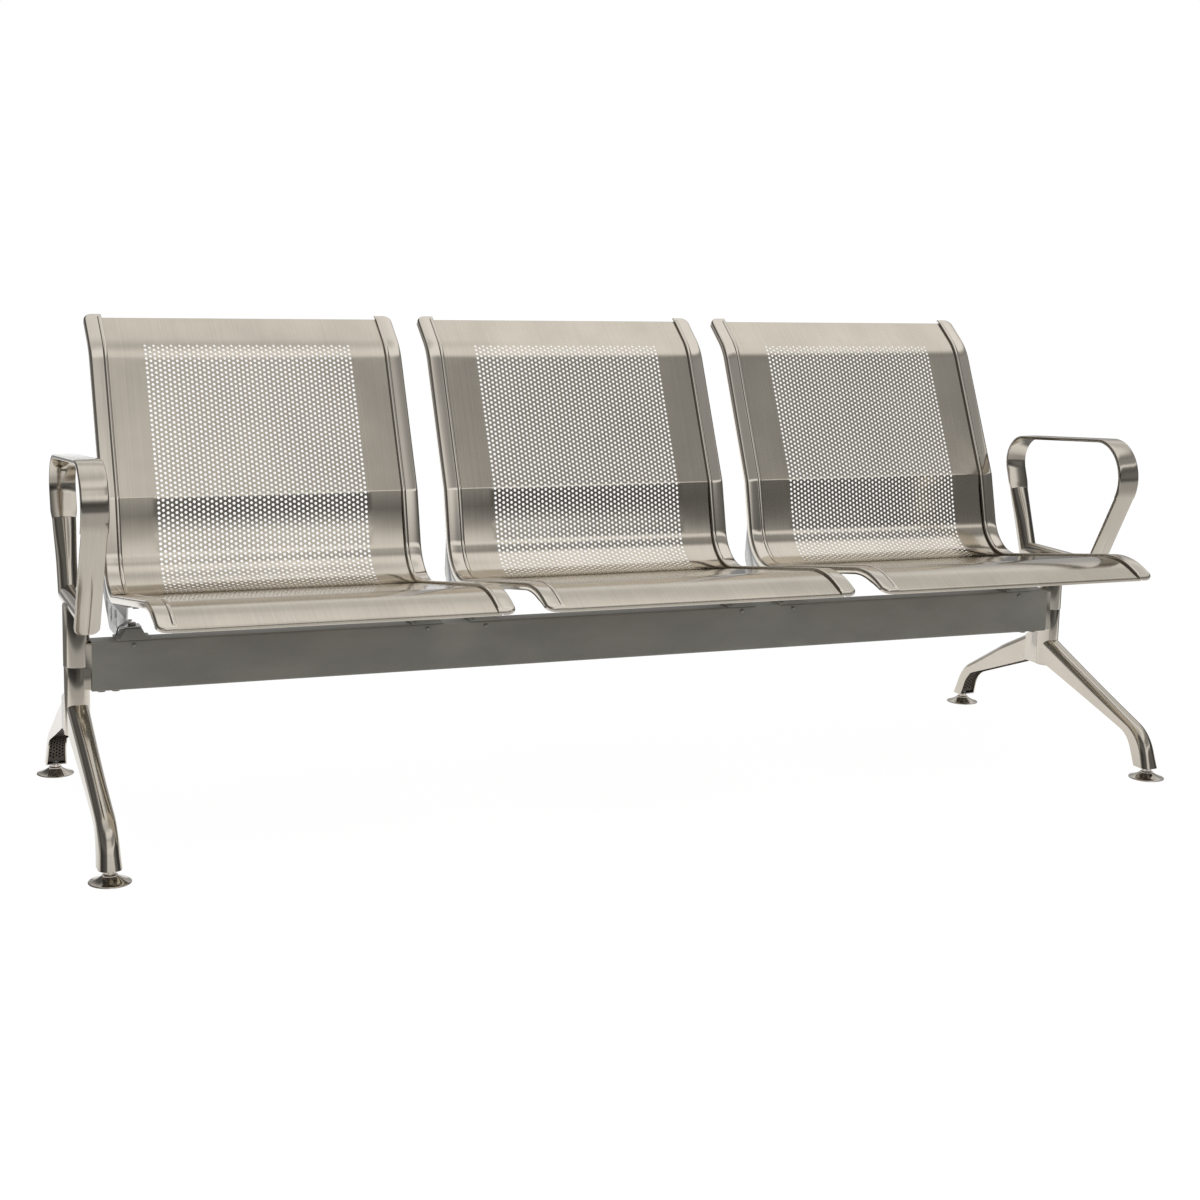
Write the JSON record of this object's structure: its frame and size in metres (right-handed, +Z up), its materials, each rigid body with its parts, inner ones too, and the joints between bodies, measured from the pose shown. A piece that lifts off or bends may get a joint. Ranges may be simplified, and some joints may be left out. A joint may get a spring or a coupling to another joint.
{
  "type": "beam seating",
  "caption": "Beam-mounted waiting bench of perforated brushed steel seats with chromed edge rails, loop armrests at both ends and splayed legs on levelling feet.",
  "frame": {"origin": "on the floor, under the middle of the bench's outline", "axes": "+X along the beam towards the sitter's left hand, +Y towards the backs, +Z up"},
  "size_m": [1.903, 0.6982, 0.7908],
  "materials": {
    "seat_steel": "fine satin, perforated",
    "chromed_rail": "polished",
    "zinc_plate": "zinc plated",
    "beam_paint": "satin paint",
    "leg_steel": "polished",
    "armrest_steel": "polished",
    "plate_steel": "dull, perforated",
    "foot_chrome": "polished",
    "fastener": "zinc plated"
  },
  "bodies": {
    "bench": {"seat_sheet_left": "seat_steel", "edge_rail_left_l": "chromed_rail", "edge_rail_left_r": "chromed_rail", "seat_bracket_left_l": "zinc_plate", "seat_bracket_left_r": "zinc_plate", "beam_saddles_left": "beam_paint", "seat_screws_left": "fastener", "seat_sheet_middle": "seat_steel", "edge_rail_middle_l": "chromed_rail", "edge_rail_middle_r": "chromed_rail", "seat_bracket_middle_l": "zinc_plate", "seat_bracket_middle_r": "zinc_plate", "beam_saddles_middle": "beam_paint", "seat_screws_middle": "fastener", "seat_sheet_right": "seat_steel", "edge_rail_right_l": "chromed_rail", "edge_rail_right_r": "chromed_rail", "seat_bracket_right_l": "zinc_plate", "seat_bracket_right_r": "zinc_plate", "beam_saddles_right": "beam_paint", "seat_screws_right": "fastener", "beam": "beam_paint", "beam_end_bolts": "fastener", "leg_post_l": "leg_steel", "armrest_strip_l": "armrest_steel", "armrest_front_bar_l": "armrest_steel", "armrest_tube_l": "armrest_steel", "armrest_base_l": "armrest_steel", "front_leg_l": "leg_steel", "front_leg_plate_l": "plate_steel", "front_socket_l": "zinc_plate", "rear_leg_l": "leg_steel", "rear_leg_plate_l": "plate_steel", "rear_socket_l": "zinc_plate", "leg_post_r": "leg_steel", "armrest_strip_r": "armrest_steel", "armrest_front_bar_r": "armrest_steel", "armrest_tube_r": "armrest_steel", "armrest_base_r": "armrest_steel", "front_leg_r": "leg_steel", "front_leg_plate_r": "plate_steel", "front_socket_r": "zinc_plate", "rear_leg_r": "leg_steel", "rear_leg_plate_r": "plate_steel", "rear_socket_r": "zinc_plate"},
    "front_left_pad": {"front_foot_pad_l": "foot_chrome"},
    "front_left_stud": {"front_foot_stud_l": "foot_chrome"},
    "rear_left_pad": {"rear_foot_pad_l": "foot_chrome"},
    "rear_left_stud": {"rear_foot_stud_l": "foot_chrome"},
    "front_right_pad": {"front_foot_pad_r": "foot_chrome"},
    "front_right_stud": {"front_foot_stud_r": "foot_chrome"},
    "rear_right_pad": {"rear_foot_pad_r": "foot_chrome"},
    "rear_right_stud": {"rear_foot_stud_r": "foot_chrome"}
  },
  "joints": [
    {"name": "front_left_foot_height", "type": "slide", "parent": "bench", "child": "front_left_pad", "axis": [0, 0, -1], "range_m": [0, 0.012]},
    {"name": "front_left_stud_turn", "type": "hinge", "parent": "front_left_pad", "child": "front_left_stud", "pos_m": [-0.92, -0.29057, 0.02], "axis": [0, 0, -1], "range_deg": [0, 2880]},
    {"name": "rear_left_foot_height", "type": "slide", "parent": "bench", "child": "rear_left_pad", "axis": [0, 0, -1], "range_m": [0, 0.012]},
    {"name": "rear_left_stud_turn", "type": "hinge", "parent": "rear_left_pad", "child": "rear_left_stud", "pos_m": [-0.92, 0.31243, 0.02], "axis": [0, 0, -1], "range_deg": [0, 2880]},
    {"name": "front_right_foot_height", "type": "slide", "parent": "bench", "child": "front_right_pad", "axis": [0, 0, -1], "range_m": [0, 0.012]},
    {"name": "front_right_stud_turn", "type": "hinge", "parent": "front_right_pad", "child": "front_right_stud", "pos_m": [0.92, -0.29057, 0.02], "axis": [0, 0, -1], "range_deg": [0, 2880]},
    {"name": "rear_right_foot_height", "type": "slide", "parent": "bench", "child": "rear_right_pad", "axis": [0, 0, -1], "range_m": [0, 0.012]},
    {"name": "rear_right_stud_turn", "type": "hinge", "parent": "rear_right_pad", "child": "rear_right_stud", "pos_m": [0.92, 0.31243, 0.02], "axis": [0, 0, -1], "range_deg": [0, 2880]}
  ],
  "couplings": [
    {"joint": "front_left_stud_turn", "follows": "front_left_foot_height", "rad_per_m": 4188.8},
    {"joint": "rear_left_stud_turn", "follows": "rear_left_foot_height", "rad_per_m": 4188.8},
    {"joint": "front_right_stud_turn", "follows": "front_right_foot_height", "rad_per_m": 4188.8},
    {"joint": "rear_right_stud_turn", "follows": "rear_right_foot_height", "rad_per_m": 4188.8}
  ]
}
